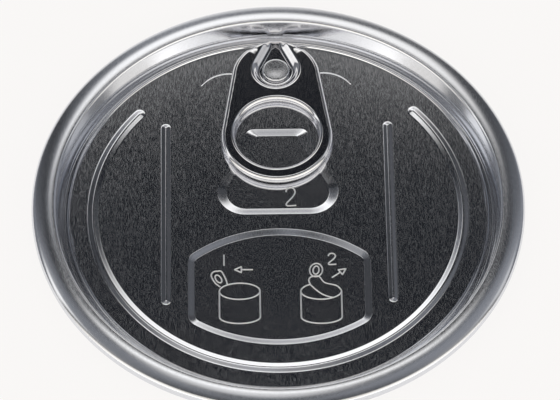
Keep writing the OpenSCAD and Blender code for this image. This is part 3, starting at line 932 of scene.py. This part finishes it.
# Studio light: brightness of the walls by heading, and tints
WALL_LEVELS = (
    (-179, 0.08), (-90, 0.07), (-60, 0.24), (-48, 0.23), (-40, 0.11), (-28, 0.04), (-12, 0.25), (11, 0.08),
    (25, 0.06), (40, 0.16), (48, 0.28), (60, 0.3), (90, 0.08), (179, 0.08)
)
WALL_TINT = (0.94, 0.98, 1.08)
WARM = (1.0, 0.985, 0.955)
CREAM = (1.0, 0.95, 0.86)
COOL = (0.8, 0.93, 1.3)


def build_world():
    """Walls and lamps by pitch, 0 level behind and 90 overhead, and by x or heading, more to the right.

    The flat metal mirrors the dark gap between the light behind and the strip light overhead.
    """
    world = bpy.data.worlds.new("studio")
    bpy.context.scene.world = world
    world.use_nodes = True
    tree = world.node_tree
    way = add_node(tree, "ShaderNodeTexCoord").outputs["Generated"]
    x, y, z = add_node(tree, "ShaderNodeSeparateXYZ", vector=way).outputs
    pitch = math_node(tree, "DEGREES", math_node(tree, "ARCTAN2", z, y))
    heading = math_node(tree, "DEGREES", math_node(tree, "ARCTAN2", x, y))

    def both(a, b):
        return math_node(tree, "MULTIPLY", a, b)

    def band(value, span, low_soft, high_soft=None):
        """1 within the span and 0 outside it, with soft edges."""
        low, high = span
        high_soft = high_soft or low_soft
        rise = remap(tree, value, low - low_soft, low + low_soft, 0, 1)
        fall = remap(tree, value, high - high_soft, high + high_soft, 1, 0)
        return both(rise, fall)

    # The light behind is raised by some degrees to the left, and slightly to both sides
    to_left = remap(tree, heading, -5, -17, 0, 4, "LINEAR")
    to_side = remap(tree, math_node(tree, "ABSOLUTE", heading), 1, 5, 0, 0.9, "LINEAR")
    lowered = math_node(tree, "SUBTRACT", math_node(tree, "SUBTRACT", pitch, to_left), to_side)
    side_pitch = band(pitch, (60, 80), 4)
    glow_pitch = band(pitch, (80, 142), 6)
    strip_light = both(band(pitch, (63.3, 69), 2.3, 3), band(x, (-0.22, 0.22), 0.07))
    strip_top = both(band(pitch, (69, 78.5), 3, 4), band(x, (-0.2, 0.1), 0.08))
    left_light = both(side_pitch, band(x, (-1.1, -0.55), 0.1))
    right_light = both(side_pitch, band(x, (0.55, 1.1), 0.1))
    left_glow = both(glow_pitch, band(x, (-0.9, -0.4), 0.12))
    right_glow = both(glow_pitch, band(x, (0.4, 0.9), 0.12))
    front_glow = band(pitch, (104, 148), 8)
    behind = both(band(lowered, (32, 49.5), 4.5, 3), band(heading, (-16, 17), 4))
    low_behind = both(band(pitch, (-30, 21), 3), band(heading, (-40, 40), 10))
    in_front = both(band(pitch, (136, 200), 5), band(x, (-1.1, 1.1), 0.1))
    narrow_gap = both(band(pitch, (46.5, 63.3), 2), band(heading, (-10, 10), 2.5))
    wide_gap = both(band(pitch, (57, 63.3), 1.5), band(heading, (-35, 35), 5))
    gap = math_node(tree, "MAXIMUM", narrow_gap, wide_gap)
    lamps = (
        (strip_light, WARM, 1.5), (strip_top, WARM, 0.65), (left_light, WARM, 1.1), (right_light, WARM, 0.5),
        (left_glow, WARM, 0.25), (right_glow, WARM, 0.25), (front_glow, CREAM, 0.9), (behind, WARM, 1.2),
        (low_behind, WARM, 0.6), (in_front, WARM, 0.9), (gap, COOL, 0.01)
    )

    walls = add_node(tree, "ShaderNodeValToRGB", fac=remap(tree, heading, -180, 180, 0, 1, "LINEAR"))
    stops = walls.color_ramp.elements
    for angle, level in WALL_LEVELS:
        stops.new((angle + 180) / 360).color = (*[level * tint for tint in WALL_TINT], 1)
    stops.remove(stops[0])
    stops.remove(stops[-1])
    wall_light = add_node(tree, "ShaderNodeBackground", color=walls.outputs["Color"])
    tree.links.new(math_node(tree, "SUBTRACT", 1, gap), wall_light.inputs["Strength"])
    total = wall_light.outputs[0]
    for shape, tint, level in lamps:
        light = add_node(tree, "ShaderNodeBackground", color=(*tint, 1), strength=both(shape, level))
        joined = tree.nodes.new("ShaderNodeAddShader")
        tree.links.new(total, joined.inputs[0])
        tree.links.new(light.outputs[0], joined.inputs[1])
        total = joined.outputs[0]
    tree.links.new(total, tree.nodes["World Output"].inputs["Surface"])


build_world()

# Camera
CAMERA_AZIMUTH = -0.857
CAMERA_ELEVATION = 55.014
CAMERA_DISTANCE = 870.17
CAMERA_TARGET = (0.36, 2.71, 1.3)
SENSOR_W = 36
FOCAL_PX = 4599
IMAGE_W = 560
CLIP_START = 0.01

camera = bpy.data.objects.new("camera", bpy.data.cameras.new("camera"))
bpy.context.scene.collection.objects.link(camera)
camera.data.sensor_width = SENSOR_W
camera.data.lens = SENSOR_W * FOCAL_PX / IMAGE_W
back = Vector((
    sind(CAMERA_AZIMUTH) * cosd(CAMERA_ELEVATION),
    -cosd(CAMERA_AZIMUTH) * cosd(CAMERA_ELEVATION),
    sind(CAMERA_ELEVATION),
))
camera.location = (Vector(CAMERA_TARGET) + back * CAMERA_DISTANCE) * MM
camera.rotation_mode = "QUATERNION"
camera.rotation_quaternion = (-back).to_track_quat("-Z", "Y")
camera.data.clip_start = CLIP_START
bpy.context.scene.camera = camera
bpy.context.scene.view_settings.view_transform = "Standard"
